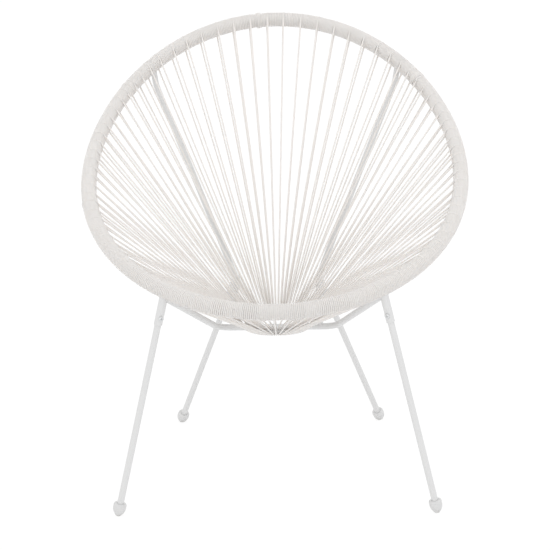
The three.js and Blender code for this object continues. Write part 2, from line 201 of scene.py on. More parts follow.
def hoop_points(share):
    """The hoop's centreline at shares of its angle: an ellipse in a tilted plane, widened by the
    egg and square terms and lifted off the plane by the square and cube of the angle's cosine."""
    angle = 2 * np.pi * np.asarray(share, float)
    cosine = np.cos(angle)
    across = HALF_WIDTH * np.sin(angle) * (1 + EGG * cosine + SQUARE * np.cos(2 * angle))
    along = -HOOP_LENGTH / 2 * cosine
    lift = HOOP_LIFT * cosine ** 2 - HOOP_CURL * cosine ** 3
    return np.stack([
        across,
        along * math.cos(HOOP_TILT) - lift * math.sin(HOOP_TILT),
        HOOP_HEIGHT + along * math.sin(HOOP_TILT) + lift * math.cos(HOOP_TILT),
    ], axis=-1) + SHIFT


HOOP_SHARES = np.linspace(0, 1, HOOP_SAMPLES)
hoop_steps = np.linalg.norm(np.diff(hoop_points(HOOP_SHARES), axis=0), axis=1)
HOOP_LENGTHS = np.concatenate([[0], np.cumsum(hoop_steps)])


def hoop_at(bay):
    """Centre and tangent of the hoop at bay numbers, counted from the middle of the front: the
    distance along the hoop grows evenly with the count within each stretch."""
    half = HOOP_LENGTHS[-1] / 2
    distances = [0, SOCKET_PLACE, half - STRUT_PLACE,
                 half + STRUT_PLACE, 2 * half - SOCKET_PLACE, 2 * half]
    stretch_ends = [0, FRONT_SOCKET_BAY, STRUT_BAY, BAYS - STRUT_BAY, BAYS - FRONT_SOCKET_BAY, BAYS]
    bay = np.asarray(bay, float) % BAYS
    place = np.interp(bay, stretch_ends, distances) + np.interp(bay, np.arange(BAYS + 1), STRAY)
    share = np.interp(place % HOOP_LENGTHS[-1], HOOP_LENGTHS, HOOP_SHARES)
    small = 1e-4
    return hoop_points(share), unit(hoop_points(share + small) - hoop_points(share - small))


# Angle of each bay's loop round the small ring, from the front. The loops of one run are pressed
# side by side, the next run's keep clear of them, and all part over the cross tube. The packed
# loops are six-sided, and their corners keep clear too
crossing = math.pi - math.acos((RING_FORWARD - CROSS_FORWARD) / RING)
cad_loop = LOOP / math.cos(math.pi / 6)
half_gap = (TUBE / math.sin(crossing) + CORD + 2 * FIT + cad_loop / abs(math.tan(crossing))) / RING
clear_step = 2 * (CORD + FIT) / (RING - cad_loop)
bay_numbers = np.arange(BAYS + 1)
from_front = np.minimum(bay_numbers, BAYS - bay_numbers)
from_back = BAYS / 2 - from_front
front = from_front <= (FRONT_LOOPS - 1) // 2


def stretch_angles(steps, run_ends, inside, reach):
    """Angles from the middle of a stretch: a step over a run's end is a clear step, and the others
    are pressed, so that the last bay inside the stretch comes to the reach."""
    last = np.argmax(np.where(inside, steps, -1))
    pressed = (reach - run_ends[last] * clear_step) / (steps[last] - run_ends[last])
    return run_ends * clear_step + (steps - run_ends) * pressed


front_angles = stretch_angles(from_front, np.round(from_front / RUN), front, crossing - half_gap)
rear_angles = stretch_angles(from_back, np.floor(from_back / RUN) + 0.5, ~front,
                             math.pi - crossing - half_gap)
LOOP_ANGLES = np.where(front, front_angles, math.pi - rear_angles)
LOOP_ANGLES = np.where(bay_numbers > BAYS / 2, 2 * math.pi - LOOP_ANGLES, LOOP_ANGLES)


def ring_at(bay):
    """Centre and tangent of the small ring's tube where the loops of these bays sit."""
    bay = np.asarray(bay, float)
    angle = np.interp(bay % BAYS, bay_numbers, LOOP_ANGLES)
    flat = np.zeros_like(angle)
    outward = np.stack([np.sin(angle), -np.cos(angle), flat], axis=-1)
    tangent = np.stack([np.cos(angle), np.sin(angle), flat], axis=-1)
    return RING_CENTRE + RING * outward, tangent


def round_tube(tangent, strand):
    """Two directions square to a tube: its seat side, and the side on which the strand leads away."""
    over = unit(np.cross(tangent, strand))
    over = over * np.where(over[..., 2:] < 0, -1, 1)
    ahead = unit(np.cross(over, tangent))
    return over, ahead * np.where(np.sum(ahead * strand, axis=-1, keepdims=True) < 0, -1, 1)


# Meshes

def sweep(path, normal, radius, sides, closed=False, flat=0.0):
    """A section carried along a path: each ring of the grid is the path's point plus the radius times
    the cosine and sine of the angle along the two directions square to the path. Where flat is above
    0 the circle is a superellipse of power 2 + flat, squarer in its corners and spread sideways."""
    path = np.asarray(path, float)
    step = np.roll(path, -1, axis=0) - path
    if not closed:
        step[-1] = step[-2]
    leaving = unit(step)
    arriving = np.roll(leaving, 1, axis=0)
    if not closed:
        arriving[0] = leaving[0]
    tangent = unit(leaving + arriving)
    normal = np.broadcast_to(np.asarray(normal, float), path.shape)
    first = unit(normal - np.sum(normal * tangent, axis=1, keepdims=True) * tangent)
    second = np.cross(tangent, first)
    angle = 2 * np.pi * np.arange(sides) / sides
    radius = np.broadcast_to(np.asarray(radius, float), len(path))[:, None]
    power = 2 + np.broadcast_to(np.asarray(flat, float), len(path))[:, None]
    radius = radius * (np.abs(np.cos(angle)) ** power + np.abs(np.sin(angle)) ** power) ** (-1 / power)
    spread = 1 + (CORD_SPREAD - 1) * (power - 2) / CORD_FLAT
    high, wide = radius * np.cos(angle), radius * spread * np.sin(angle)
    return path[:, None] + high[:, :, None] * first[:, None] + wide[:, :, None] * second[:, None]


def revolve(profile, origin, axis, sides):
    """A profile of (radius, distance along the axis) pairs turned about the axis through the origin."""
    askew = [0.31, 0.87, 0.39]
    axis = unit(axis)
    first = unit(np.cross(axis, askew))
    second = np.cross(axis, first)
    angle = 2 * np.pi * np.arange(sides) / sides
    spoke = np.cos(angle)[:, None] * first + np.sin(angle)[:, None] * second
    profile = np.asarray(profile, float)
    return origin + profile[:, 0, None, None] * spoke[None] + profile[:, 1, None, None] * axis


def band_ends(grid, band=0.0003):
    """A ring set in by the band from each end, but at most half way to the next, at which the
    shading of the end's fan stops."""
    rings = []
    for end, inner in ((grid[0], grid[1]), (grid[-1], grid[-2])):
        share = min(0.5, band / np.linalg.norm(inner[0] - end[0]))
        rings.append((end + (inner - end) * share)[None])
    return np.concatenate([grid[:1], rings[0], grid[1:-1], rings[1], grid[-1:]])


def wall_faces(grid, closed):
    """The quads between a grid's rows and columns, and the place of each of their corners along the
    piece, in metres, and round it, as a share."""
    rows, columns = grid.shape[:2]
    row = np.arange(rows if closed else rows - 1)[:, None]
    column = np.arange(columns)[None, :]
    ahead, beside = (row + 1) % rows, (column + 1) % columns
    quads = np.stack([row * columns + column, row * columns + beside,
                      ahead * columns + beside, ahead * columns + column], axis=-1)
    gaps = np.linalg.norm(np.roll(grid[:, 0], -1, axis=0) - grid[:, 0], axis=1)
    length = np.concatenate([[0], np.cumsum(gaps[:len(row)])])
    along = np.broadcast_to(length[:-1, None], quads.shape[:2])
    along_next = np.broadcast_to(length[1:, None], quads.shape[:2])
    around = np.broadcast_to(column / columns, quads.shape[:2])
    around_next = around + 1 / columns
    pattern = np.stack([np.stack([along, along, along_next, along_next], axis=-1),
                        np.stack([around, around_next, around_next, around], axis=-1)], axis=-1)
    return quads, pattern


def end_fans(grid):
    """The middle of each end ring, and the triangles from it to the ring's points."""
    rows, columns = grid.shape[:2]
    centres = np.stack([grid[0].mean(axis=0), grid[-1].mean(axis=0)])
    centre = np.full(columns, rows * columns)
    side = np.arange(columns)
    beside = (side + 1) % columns
    last = (rows - 1) * columns
    return centres, np.stack([np.stack([centre, beside, side], axis=-1),
                              np.stack([centre + 1, last + side, last + beside], axis=-1)])


def add_piece(name, skins, material, nodes=()):
    """One mesh from grids of points, rows along the piece and columns round it. A skin is the grid
    and how its rows end: "capped" with a flat fan at each end, or "closed" into a loop."""
    points, corners, sizes, patterns = [], [], [], []
    offset = 0
    for grid, ends in skins:
        grid = band_ends(grid) if ends == "capped" else grid
        quads, pattern = wall_faces(grid, ends == "closed")
        points.append(grid.reshape(-1, 3))
        corners.append(quads.reshape(-1) + offset)
        sizes.append(np.full(quads[..., 0].size, 4))
        patterns.append(pattern.reshape(-1, 2))
        if ends == "capped":
            centres, fans = end_fans(grid)
            points.append(centres)
            corners.append(fans.reshape(-1) + offset)
            sizes.append(np.full(fans[..., 0].size, 3))
            patterns.append(np.zeros((fans.size, 2)))
        offset = sum(len(group) for group in points)
    points, corners, sizes = np.concatenate(points), np.concatenate(corners), np.concatenate(sizes)
    mesh = bpy.data.meshes.new(name)
    mesh.vertices.add(len(points))
    mesh.vertices.foreach_set("co", points.ravel())
    mesh.loops.add(len(corners))
    mesh.loops.foreach_set("vertex_index", corners)
    mesh.polygons.add(len(sizes))
    mesh.polygons.foreach_set("loop_start", np.concatenate([[0], np.cumsum(sizes)[:-1]]))
    mesh.polygons.foreach_set("loop_total", sizes)
    mesh.polygons.foreach_set("use_smooth", sizes == 4)
    layer = mesh.uv_layers.new(name="along and round")
    layer.data.foreach_set("uv", np.concatenate(patterns).ravel())
    mesh.update()
    mesh.validate()
    mesh.materials.append(material)
    piece = bpy.data.objects.new(name, mesh)
    bpy.context.scene.collection.objects.link(piece)
    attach(piece, "root")
    if nodes:
        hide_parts(*nodes)


# Materials

# A Mix node's colour sockets share their names with its other sockets, so they go by number
MIX_A, MIX_B, MIX_RESULT = 6, 7, 2

# How many features of each noise lie in a metre
CORD_DRIFT = 16.0
CORD_DUST = 120.0
STEEL_PEEL = 850.0
STEEL_PATCH = 22.0
MOULD_GRAIN = 1400.0
ZINC_CLOUD = 500.0
FLOOR_MOTTLE = 3.0


def colour(code):
    """An sRGB hex value as linear light: below the knee divided by 12.92, above it a 2.4 power."""
    value = np.array([int(code[i:i + 2], 16) for i in (1, 3, 5)]) / 255
    linear = np.where(value <= 0.04045, value / 12.92, ((value + 0.055) / 1.055) ** 2.4)
    return (*linear.tolist(), 1.0)


def add_node(tree, kind, inputs=None, **settings):
    """Adds a node, sets its properties, and gives each named input a value or a link."""
    node = tree.nodes.new(kind)
    for key, value in settings.items():
        setattr(node, key, value)
    for key, value in (inputs or {}).items():
        if isinstance(value, bpy.types.NodeSocket):
            tree.links.new(value, node.inputs[key])
        else:
            node.inputs[key].default_value = value
    return node


def new_material(name):
    """An empty node material, and the tree to fill."""
    material = bpy.data.materials.new(name)
    material.use_nodes = True
    material.node_tree.nodes.clear()
    return material, material.node_tree


def extruded_pvc_cord():
    """Round PVC cord drawn through a die: a soft satin shine with faint lines along its length, a
    milky body that lets some light through, and a tone that drifts from one stretch to the next."""
    material, tree = new_material("extruded PVC cord, warm white")
    uv = add_node(tree, "ShaderNodeUVMap", uv_map="along and round")
    place = add_node(tree, "ShaderNodeTexCoord").outputs["Object"]
    # Patches of tone, and smaller ones of dust that dulls the shine
    drift = add_node(tree, "ShaderNodeTexNoise", {"Vector": place, "Scale": CORD_DRIFT, "Detail": 3.0})
    tone = add_node(tree, "ShaderNodeMix", {
        "Factor": drift.outputs["Fac"], MIX_A: colour("#E8E4E0"), MIX_B: colour("#ECE8E5")},
        data_type="RGBA")
    dust = add_node(tree, "ShaderNodeTexNoise", {"Vector": place, "Scale": CORD_DUST, "Detail": 2.0})
    dusty = add_node(tree, "ShaderNodeMapRange", {
        "Value": dust.outputs["Fac"], "From Min": 0.45, "From Max": 0.75, "To Min": 0.30, "To Max": 0.42})
    # Die lines: 30 to the metre along the cord and 20 round it, coarser than real so that they show
    stretched = add_node(tree, "ShaderNodeMapping", {"Vector": uv.outputs["UV"], "Scale": (30.0, 20.0, 1.0)})
    lines = add_node(tree, "ShaderNodeTexNoise", {
        "Vector": stretched.outputs["Vector"], "Scale": 1.0, "Detail": 2.0})
    relief = add_node(tree, "ShaderNodeBump", {
        "Height": lines.outputs["Fac"], "Strength": 0.25, "Distance": 0.0001})
    skin = add_node(tree, "ShaderNodeBsdfPrincipled", {
        "Base Color": tone.outputs[MIX_RESULT], "Roughness": dusty.outputs["Result"], "IOR": 1.53,
        "Normal": relief.outputs["Normal"],
        "Subsurface Weight": 0.5, "Subsurface Radius": (1.0, 0.95, 0.9), "Subsurface Scale": 0.004})
    add_node(tree, "ShaderNodeOutputMaterial", {"Surface": skin.outputs["BSDF"]})
    return material


def powder_coated_steel():
    """Polyester powder baked on steel tube: an even pale grey with a fine orange-peel skin that
    breaks up the highlight, and a slightly duller patch here and there."""
    material, tree = new_material("powder-coated steel tube, pale grey")
    place = add_node(tree, "ShaderNodeTexCoord").outputs["Object"]
    peel = add_node(tree, "ShaderNodeTexNoise", {"Vector": place, "Scale": STEEL_PEEL, "Detail": 2.0})
    relief = add_node(tree, "ShaderNodeBump", {
        "Height": peel.outputs["Fac"], "Strength": 0.2, "Distance": 0.0002})
    patch = add_node(tree, "ShaderNodeTexNoise", {"Vector": place, "Scale": STEEL_PATCH, "Detail": 3.0})
    gloss = add_node(tree, "ShaderNodeMapRange", {
        "Value": patch.outputs["Fac"], "From Min": 0.3, "From Max": 0.7, "To Min": 0.33, "To Max": 0.43})
    tone = add_node(tree, "ShaderNodeMix", {
        "Factor": patch.outputs["Fac"], MIX_A: colour("#E0E0E0"), MIX_B: colour("#E4E4E4")},
        data_type="RGBA")
    skin = add_node(tree, "ShaderNodeBsdfPrincipled", {
        "Base Color": tone.outputs[MIX_RESULT], "Roughness": gloss.outputs["Result"], "IOR": 1.5,
        "Normal": relief.outputs["Normal"]})
    add_node(tree, "ShaderNodeOutputMaterial", {"Surface": skin.outputs["BSDF"]})
    return material


def moulded_polyethylene():
    """Injection-moulded polyethylene: a matt, slightly waxy grey with the fine grain of a spark-cut
    mould, a little darker and warmer in the lowest few millimetres."""
    material, tree = new_material("moulded polyethylene, grey")
    place = add_node(tree, "ShaderNodeTexCoord").outputs["Object"]
    grain = add_node(tree, "ShaderNodeTexNoise", {"Vector": place, "Scale": MOULD_GRAIN, "Detail": 2.0})
    relief = add_node(tree, "ShaderNodeBump", {
        "Height": grain.outputs["Fac"], "Strength": 0.25, "Distance": 0.0002})
    height = add_node(tree, "ShaderNodeSeparateXYZ", {"Vector": place})
    # The tone goes darker and warmer over the lowest 8 mm, down to the floor
    low = add_node(tree, "ShaderNodeMapRange", {
        "Value": height.outputs["Z"], "From Min": 0.0, "From Max": 0.008})
    tone = add_node(tree, "ShaderNodeMix", {
        "Factor": low.outputs["Result"], MIX_A: colour("#D8D7D5"), MIX_B: colour("#DEDEDE")},
        data_type="RGBA")
    skin = add_node(tree, "ShaderNodeBsdfPrincipled", {
        "Base Color": tone.outputs[MIX_RESULT], "Roughness": 0.5, "IOR": 1.51,
        "Normal": relief.outputs["Normal"]})
    add_node(tree, "ShaderNodeOutputMaterial", {"Surface": skin.outputs["BSDF"]})
    return material


def zinc_plate():
    """Bright zinc plated on a steel screw: a cool silver with faint cloudy patches in its shine."""
    material, tree = new_material("bright zinc-plated steel")
    place = add_node(tree, "ShaderNodeTexCoord").outputs["Object"]
    cloud = add_node(tree, "ShaderNodeTexNoise", {"Vector": place, "Scale": ZINC_CLOUD, "Detail": 2.0})
    gloss = add_node(tree, "ShaderNodeMapRange", {
        "Value": cloud.outputs["Fac"], "To Min": 0.3, "To Max": 0.45})
    skin = add_node(tree, "ShaderNodeBsdfPrincipled", {
        "Base Color": colour("#E2E3E4"), "Metallic": 1.0, "Roughness": gloss.outputs["Result"]})
    add_node(tree, "ShaderNodeOutputMaterial", {"Surface": skin.outputs["BSDF"]})
    return material


cord_finish = extruded_pvc_cord()
steel_finish = powder_coated_steel()
cap_finish = moulded_polyethylene()
screw_finish = zinc_plate()


# The cord: one course per bay, from half way after the bay before to half way to the next

def bay_frame(bay):
    """Hoop centre, its tangent, the seat side and the ring side at a bay number."""
    centre, tangent = hoop_at(bay)
    seat, _ = ring_at(bay)
    over, ahead = round_tube(tangent, seat - centre)
    return centre, tangent, over, ahead


def bay_length(bay):
    """Length of hoop that a bay takes up."""
    return np.linalg.norm(hoop_at(bay + 0.5)[0] - hoop_at(bay - 0.5)[0])


def strand_lean(bay):
    """Angle by which a strand narrows in from the wrapped hoop to the ring."""
    span = np.linalg.norm(ring_at(bay)[0] - hoop_at(bay)[0])
    return math.asin((WRAP - LOOP) / span)


def wrap_turns(bay, low, high, samples=20):
    """Close turns between one bay's lower strand and the next bay's upper strand, cut to the bays
    from low to high: a helix whose angle grows evenly with the place on the hoop, fanned out on the
    ring side to fill in beside the strands. The last turn rides up on the others before it leaves,
    and the turns over a joint stand out between two dips. A turn has so many samples."""
    length = bay_length(bay + 0.5)
    start = bay + WRAP_PITCH / 4 / bay_length(bay)
    end = bay + 1 - WRAP_PITCH / 4 / bay_length(bay + 1)
    turns = math.floor((end - start) * length / TIGHTEST_PITCH + 0.5)
    first = math.pi - strand_lean(bay)
    last = 2 * math.pi * turns + strand_lean(bay + 1)
    low, high = max(low, start), min(high, end)
    count = max(4, int(samples * (last - first) / (2 * math.pi) * (high - low) / (end - start)))
    place = np.linspace(low, high, count)
    phase = first + (last - first) * (place - start) / (end - start)
    fan = FAN_IN * WRAP_PITCH / length * np.clip(np.sin(phase), 0, 1)
    centre, _, over, ahead = bay_frame(place + fan * (2 * (place - start) / (end - start) - 1))
    spoke = np.cos(phase)[:, None] * over + np.sin(phase)[:, None] * ahead
    rise = TURN_RIDE * np.clip((RIDE_FROM - (last - phase)) / RIDE_OVER, 0, 1)
    for joint, joint_rise, dip in JOINTS:
        away = (place - joint) * length / JOINT_HALF_WIDTH
        rise += joint_rise * np.exp(-away ** 4)
        rise -= dip * np.exp(-((np.abs(away) - DIP_PLACE) / DIP_FADE) ** 2)
    return centre + (WRAP + rise)[:, None] * spoke, spoke, np.full(count, CORD_FLAT)


def laced_loop(bay, samples=12):
    """Down from the seat side of the hoop, half a turn round the ring's tube and back up to the
    hoop's far side: two straight strands and the arc between them."""
    quarter = WRAP_PITCH / 4 / bay_length(bay)
    lean = strand_lean(bay)
    seat, ring_tangent = ring_at(bay)
    centre, _, over, ahead = bay_frame(np.array([bay - quarter, bay + quarter]))
    leave = over[0] * math.cos(lean) + ahead[0] * math.sin(lean)
    arrive = -over[1] * math.cos(lean) + ahead[1] * math.sin(lean)
    ring_over, ring_ahead = round_tube(ring_tangent, seat - centre.mean(axis=0))
    turn = np.linspace(lean, math.pi - lean, samples)
    arc = np.cos(turn)[:, None] * ring_over + np.sin(turn)[:, None] * ring_ahead
    bend = seat + LOOP * arc
    top, bottom = centre[0] + (WRAP + TURN_RIDE) * leave, centre[1] + WRAP * arrive
    share = np.linspace(0, 1, STRAND_POINTS)[1:-1, None]
    down, back = top + share * (bend[0] - top), bend[-1] + share * (bottom - bend[-1])
    points = np.concatenate([top[None], down, bend, back, bottom[None]])
    normals = np.concatenate([leave[None], leave + share * (arc[0] - leave), arc,
                              arc[-1] + share * (arrive - arc[-1]), arrive[None]])
    flat = np.zeros(len(points))
    flat[[0, -1]] = CORD_FLAT
    return points, normals, flat


def cord_route(first_bay):
    """One run's cord: for each of its bays the turns before the strands, the strands and the turns
    after them. Points that two stretches share are kept once."""
    stretches = []
    for bay in range(first_bay, first_bay + RUN):
        before = wrap_turns(bay - 1, bay - 0.5, bay)
        after = wrap_turns(bay, bay, bay + 0.5)
        stretches += [[part[:-1] for part in before], laced_loop(bay), [part[1:-1] for part in after]]
    stretches[-1] = [part[1:] for part in after]
    return [np.concatenate(parts) for parts in zip(*stretches)]


for run in range(BAYS // RUN):
    path, normals, flat = cord_route(run * RUN - RUN // 2)
    add_piece(f"laced_cord_{run + 1:02d}", [(sweep(path, normals, CORD, CORD_SIDES, flat=flat), "capped")],
              cord_finish, [f"cord_run_{run + 1:02d}"])


# The steel frame's places, for the side of +X

strut_hoop, strut_tangent = hoop_at(STRUT_BAY)
strut_seat = ring_at(STRUT_BAY)[0]
strut_down = unit(strut_seat - strut_hoop)
strut_out = unit(np.cross(strut_down, strut_tangent))
strut_out = strut_out if strut_out[2] < 0 else -strut_out
shoulder = strut_hoop + STRUT_OFF * strut_out + STRUT_SHOULDER * strut_down
elbow = np.array([ELBOW_SPAN, strut_seat[1], RING_HEIGHT + ELBOW_RISE])
elbow[1] += (ELBOW_OFF - np.dot(strut_out, elbow - strut_seat)) / strut_out[1]
strut_foot = np.array([STRUT_FOOT_SPAN, -CROSS_FORWARD + SHIFT[1], CROSS_HEIGHT])

front_hoop = hoop_at(FRONT_SOCKET_BAY)[0]
front_foot = np.array([*FRONT_FOOT, 0.0]) + SHIFT
rear_foot = np.array([*REAR_FOOT, 0.0]) + SHIFT
front_axis, rear_axis = unit(front_foot - front_hoop), unit(rear_foot - elbow)
cross_end = front_hoop + front_axis * CROSS_DROP / -front_axis[2]
cross_corner = np.array([CROSS_SPAN, -CROSS_FORWARD + SHIFT[1], CROSS_HEIGHT])

# Each leg: its row, where its socket starts, its direction, the socket's length and the start of its
# wall, the foot, and -1 or 1 where the screw looks forward or back
LEGS = (("front", front_hoop, front_axis, FRONT_SOCKET_LENGTH, FRONT_SOCKET_START, front_foot, -1),
        ("rear", elbow, rear_axis, REAR_SOCKET_LENGTH, REAR_SOCKET_START, rear_foot, 1))


def mirror(point, side):
    """The point on the +X side for side 1, or its mirror image for side -1."""
    return np.array([side * point[0], point[1], point[2]])


def bent_route(corners, radius, steps=14):
    """Straight runs between corners, each inner corner rounded to an arc of the bend radius."""
    corners = np.asarray(corners, float)
    route = [corners[:1]]
    for i in range(1, len(corners) - 1):
        back, ahead = unit(corners[i - 1] - corners[i]), unit(corners[i + 1] - corners[i])
        half = (math.pi - math.acos(np.dot(back, ahead))) / 2
        middle = corners[i] + unit(back + ahead) * radius / math.cos(half)
        inward = unit(corners[i] - middle)
        aside = unit(ahead - back)
        turn = np.linspace(-half, half, steps)
        route.append(middle + radius * (np.cos(turn)[:, None] * inward + np.sin(turn)[:, None] * aside))
    route.append(corners[-1:])
    return np.concatenate(route)


def add_seat_ring(points=96):
    """The small ring: a circle of round bar."""
    turn = np.linspace(0, 2 * np.pi, points, endpoint=False)
    path = RING_CENTRE + RING * np.stack([np.sin(turn), -np.cos(turn), 0 * turn], axis=1)
    add_piece("seat_ring_bar", [(sweep(path, [0, 0, 1], RING_TUBE, RING_SIDES, closed=True), "closed")],
              steel_finish, ["seat_ring"])


def add_cross_tube():
    """The bent tube under the ring, from front socket to front socket."""
    route = bent_route([mirror(cross_end, -1), mirror(cross_corner, -1), cross_corner, cross_end],
                       CROSS_BEND)
    square = np.cross([1, 0, 0], cross_end - cross_corner)
    add_piece("under_seat_tube", [(sweep(route, square, TUBE, TUBE_SIDES), "capped")],
              steel_finish, ["cross_tube"])


def add_strut(side, side_name):
    """A back strut: from the hoop over its shoulder to the elbow and on to the cross tube."""
    route = bent_route([strut_hoop, shoulder, elbow, strut_foot], STRUT_BEND)
    route = np.stack([mirror(point, side) for point in route])
    add_piece(f"back_strut_tube_{side_name}", [(sweep(route, [1, 0, 0], TUBE, TUBE_SIDES), "capped")],
              steel_finish, [f"back_strut_{side_name}"])


# The legs

def socket_profile(start, reach):
    """A socket's section: up the outside, over a lip of two quarter circles, and down the bore."""
    turn = np.linspace(0, np.pi / 2, 5)
    outside, bore = SOCKET - SOCKET_LIP, SOCKET_BORE + SOCKET_LIP
    outer = np.stack([outside + SOCKET_LIP * np.cos(turn), reach - SOCKET_LIP + SOCKET_LIP * np.sin(turn)],
                     axis=1)
    inner = np.stack([bore - SOCKET_LIP * np.sin(turn), reach - SOCKET_LIP + SOCKET_LIP * np.cos(turn)],
                     axis=1)
    return np.concatenate([[[SOCKET, start]], outer, inner, [[SOCKET_BORE, reach - SOCKET_BORE_DEPTH]]])


def cap_profile():
    """The bud-shaped foot's section. The belly's radius is a root of its share, which is 1 less a
    power of the height left above it. The shoulder's width and height go with the square roots of a
    turn's cosine and sine. Then come the mouth's lip and the bore."""
    height = CAP_BELLY * np.linspace(TIP_SHARE, 1, 16) ** 2
    share = 1 - (1 - height / CAP_BELLY) ** BELLY_POWER
    belly = np.stack([CAP_RADIUS * share ** (1 / TIP_POWER), height], axis=1)
    turn = np.linspace(0, np.pi / 2, 10)
    across, up = np.sqrt(np.maximum(np.cos(turn), 0)), np.sqrt(np.sin(turn))
    shoulder_line = np.stack([CAP_MOUTH + (CAP_RADIUS - CAP_MOUTH) * across,
                              CAP_SHOULDER + (CAP_HEIGHT - CAP_SHOULDER) * up], axis=1)
    bore = [[CAP_BORE + CAP_LIP, CAP_HEIGHT], [CAP_BORE, CAP_HEIGHT - CAP_LIP],
            [CAP_BORE, CAP_HEIGHT - CAP_BORE_DEPTH]]
    return np.concatenate([belly, shoulder_line, bore])


def screw_skin(seat, outward):
    """A pan-head screw: shank, flat underside and a domed top, whose height falls by a recess where
    the point lies within either bar of a cross."""
    turn = np.linspace(0, np.pi / 2, 9)
    dome_share = np.concatenate([np.cos(turn[:-1]), FLOOR_SHARES])
    dome_height = EDGE_SHARE + (1 - EDGE_SHARE) * np.sqrt(np.maximum(0, 1 - dome_share ** 2))
    below = [[SCREW_SHANK, -SCREW_SHANK_LENGTH], [SCREW_SHANK, 0],
             [SCREW_HEAD * UNDERSIDE_SHARE, 0], [SCREW_HEAD, SCREW_EDGE_HEIGHT]]
    dome = np.stack([SCREW_HEAD * dome_share, SCREW_HEAD_HEIGHT * dome_height], axis=1)
    profile = np.concatenate([below, dome])
    grid = revolve(profile, seat, outward, SCREW_SIDES)
    angle = 2 * np.pi * np.arange(SCREW_SIDES) / SCREW_SIDES
    x, y = np.abs(profile[:, :1] * np.cos(angle)), np.abs(profile[:, :1] * np.sin(angle))
    cross = (np.minimum(x, y) < RECESS_HALF_WIDTH) & (np.maximum(x, y) < RECESS_HALF_LENGTH)
    depth = np.where(cross & (profile[:, 1:] > SCREW_EDGE_HEIGHT), RECESS_DEPTH, 0)
    return grid - depth[:, :, None] * unit(outward)


def add_leg(leg, side, side_name):
    """The socket, the leg tube, the foot cap, cut flat where it meets the floor, and the screw."""
    row, top, axis, reach, start, foot, facing = leg
    top, axis, foot = mirror(top, side), mirror(axis, side), mirror(foot, side)
    socket = revolve(socket_profile(start, reach), top, axis, TURNED_SIDES)
    add_piece(f"{row}_socket_tube_{side_name}", [(socket, "capped")],
              steel_finish, [f"{row}_leg_socket_{side_name}"])
    tip = foot + CAP_TIP_DROP * axis
    leg_start = reach - LEG_INSERTION
    leg_end = np.linalg.norm(tip - top) - (CAP_HEIGHT - CAP_BORE_DEPTH) - FIT
    line = [[TUBE, leg_start], [TUBE, (leg_start + leg_end) / 2], [TUBE, leg_end]]
    add_piece(f"{row}_leg_tube_{side_name}", [(revolve(line, top, axis, TURNED_SIDES), "capped")],
              steel_finish, [f"{row}_leg_{side_name}"])
    cap = revolve(cap_profile(), tip, -axis, CAP_SIDES)
    cap[:, :, 2] = np.maximum(cap[:, :, 2], 0)
    add_piece(f"{row}_foot_bud_{side_name}", [(cap, "capped")],
              cap_finish, [f"{row}_foot_cap_{side_name}"])
    look = np.array([-side * math.sin(SCREW_TURN), facing * math.cos(SCREW_TURN), 0])
    look = unit(look - np.dot(look, axis) * axis)
    seat = top + (reach - SCREW_FROM_END) * axis + (SOCKET + FIT) * look
    add_piece(f"{row}_socket_screw_{side_name}", [(screw_skin(seat, look), "capped")],
              screw_finish, [f"{row}_leg_screw_{side_name}"])


# The welds

def weld_bead(root, direction, radius, main_point, main_axis, main_radius):
    """A rippled bead round a butted tube: where lines along the tube, set round it, first meet the
    main tube's surface, from the quadratic for a line and a cylinder."""
    askew = [0.3, 0.2, 0.93]
    direction, main_axis = unit(direction), unit(main_axis)
    first = unit(np.cross(direction, askew))
    second = np.cross(direction, first)
    angle = np.linspace(0, 2 * np.pi, WELD_POINTS, endpoint=False)
    spoke = np.cos(angle)[:, None] * first + np.sin(angle)[:, None] * second
    start = root + (radius + WELD_OFF) * spoke - WELD_APPROACH * direction
    across = start - main_point
    across = across - (across @ main_axis)[:, None] * main_axis
    along = direction - np.dot(direction, main_axis) * main_axis
    a, b = np.dot(along, along), 2 * across @ along
    c = np.sum(across ** 2, axis=1) - (main_radius + WELD_OFF) ** 2
    reach = (-b - np.sqrt(np.maximum(b * b - 4 * a * c, 0))) / (2 * a)
    path = start + reach[:, None] * direction
    ripple = WELD * (1 + WELD_RIPPLE_SHARE * np.cos(WELD_RIPPLES * angle))
    return sweep(path, spoke, ripple, WELD_SIDES, closed=True)


def side_beads(side):
    """The welds of one side: cross tube to front socket, strut to cross tube, and rear socket to
    the strut's elbow."""
    end, foot, bend = mirror(cross_end, side), mirror(strut_foot, side), mirror(elbow, side)
    return [weld_bead(end, mirror(cross_end - cross_corner, side), TUBE,
                      mirror(front_hoop, side), mirror(front_axis, side), SOCKET),
            weld_bead(foot, mirror(strut_foot - elbow, side), TUBE, foot, [1, 0, 0], TUBE),
            weld_bead(bend, -mirror(rear_axis, side), SOCKET, bend, mirror(elbow - shoulder, side), TUBE)]


add_seat_ring()
add_cross_tube()
for side, side_name in ((1, "left"), (-1, "right")):
    add_strut(side, side_name)
    for leg in LEGS:
        add_leg(leg, side, side_name)
add_piece("weld_beads", [(bead, "closed") for side in (1, -1) for bead in side_beads(side)],
          steel_finish)

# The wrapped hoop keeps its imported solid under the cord
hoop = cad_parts["rim_hoop"]
hoop.data.materials.clear()
hoop.data.materials.append(steel_finish)


# The stage: a pale floor that goes over into a white surround, with soft light from a wide overhead
# panel and from a far, low panel in front

def white_for_the_eye(tree, plain, white):
    """Shows the white shader to camera, glossy and transmission rays, and the plain one to others."""
    path = add_node(tree, "ShaderNodeLightPath")
    seen = add_node(tree, "ShaderNodeMath", {
        0: path.outputs["Is Camera Ray"], 1: path.outputs["Is Glossy Ray"]}, operation="MAXIMUM")
    seen = add_node(tree, "ShaderNodeMath", {
        0: seen.outputs[0], 1: path.outputs["Is Transmission Ray"]}, operation="MAXIMUM")
    return add_node(tree, "ShaderNodeMixShader", {0: seen.outputs[0], 1: plain, 2: white})


